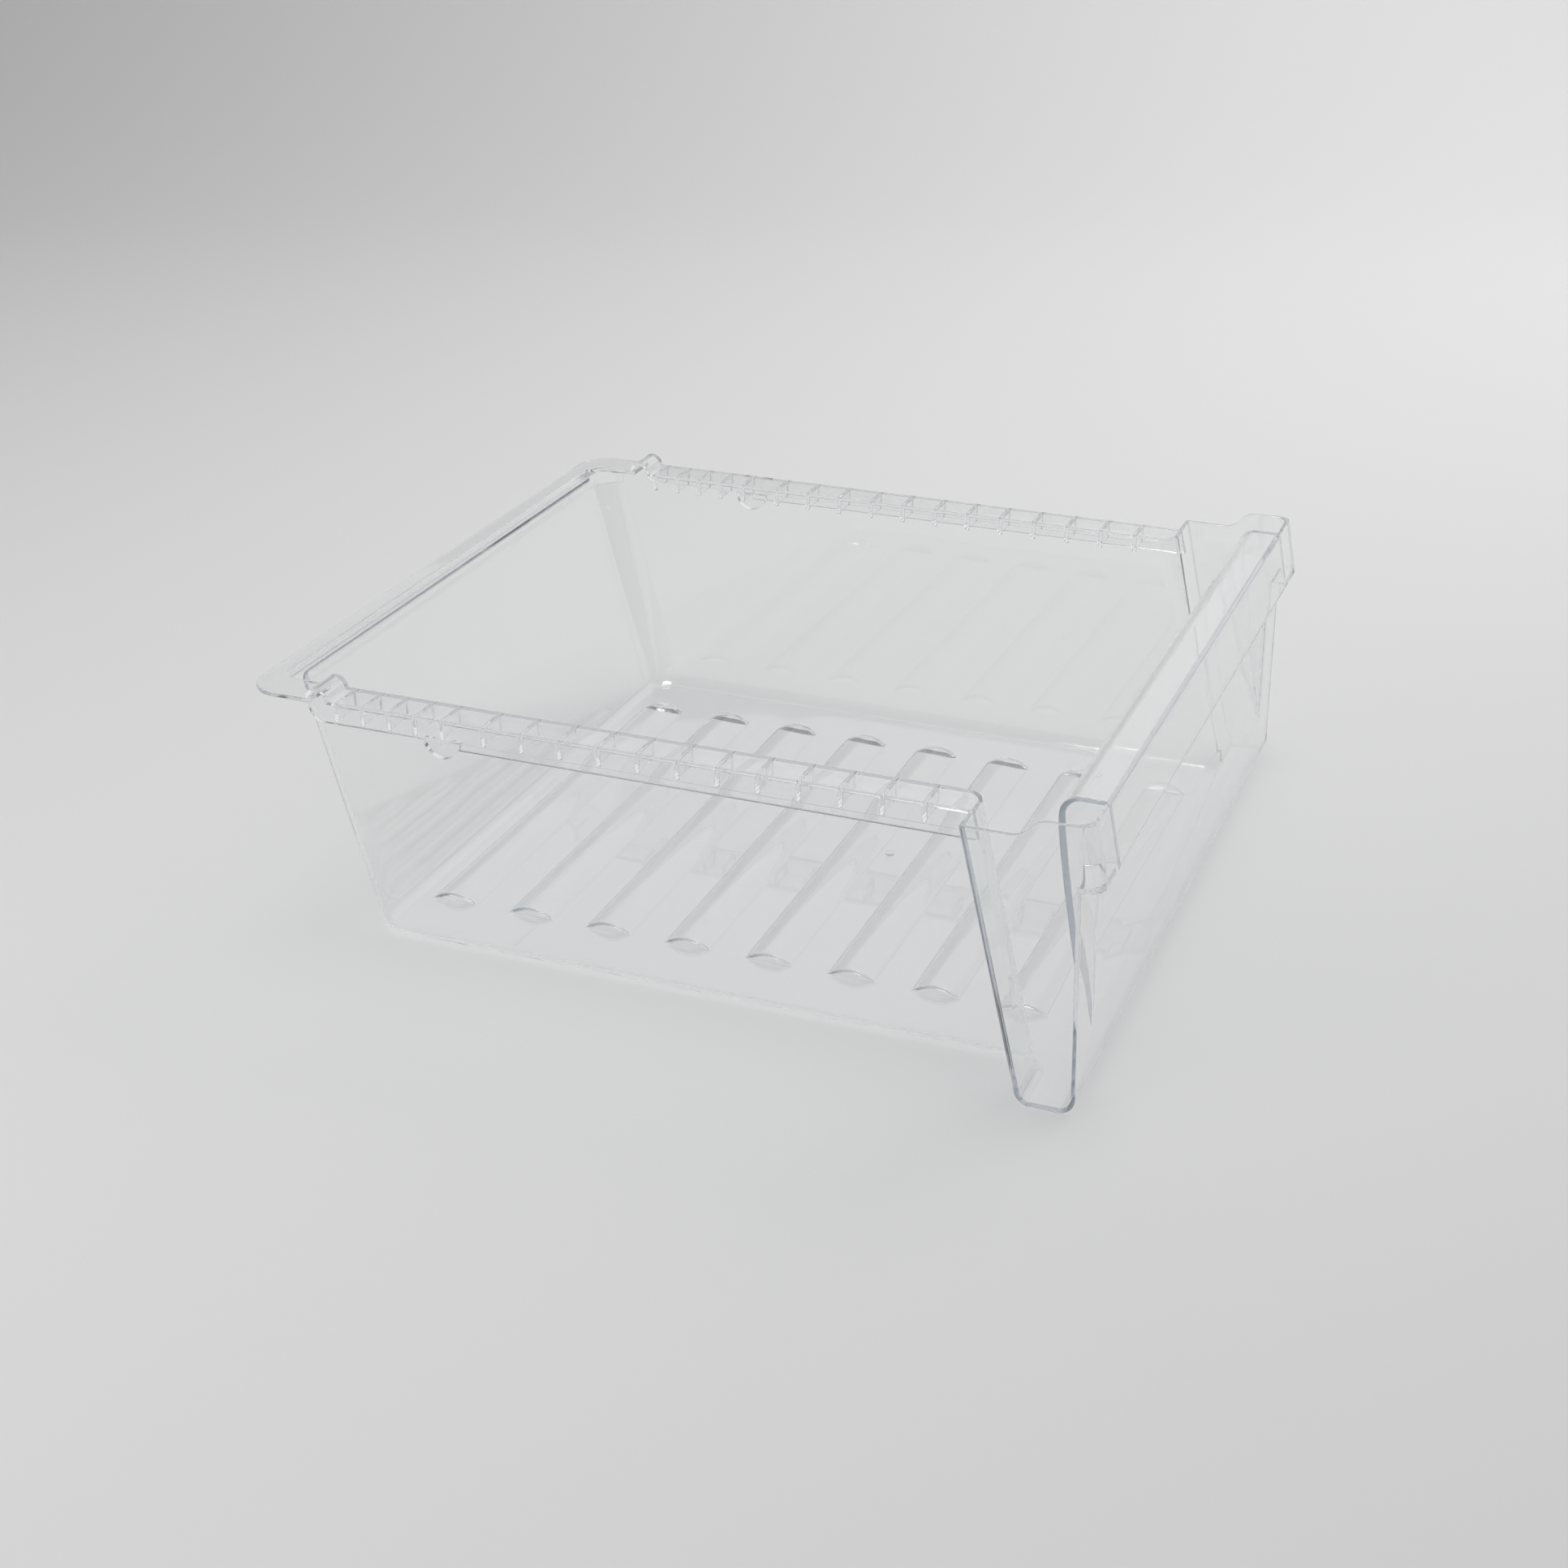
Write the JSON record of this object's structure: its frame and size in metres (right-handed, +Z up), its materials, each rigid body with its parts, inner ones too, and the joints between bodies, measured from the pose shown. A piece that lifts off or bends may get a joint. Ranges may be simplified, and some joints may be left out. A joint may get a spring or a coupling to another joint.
{
  "type": "fridge crisper drawer",
  "caption": "Clear moulded fridge crisper drawer: open box with wide front cheeks, a finger recess behind a hanging lip, ribbed hanging side rails, a rear flange and a corrugated floor.",
  "frame": {"origin": "centre of the bounding box in plan, at the underside", "axes": "+X across the drawer, -Y out of the front, +Z up"},
  "size_m": [0.4034, 0.4116, 0.1365],
  "materials": {
    "clear_plastic": "water-clear, polished by the mould"
  },
  "bodies": {
    "root": {"crisper_drawer": "clear_plastic"}
  },
  "joints": []
}
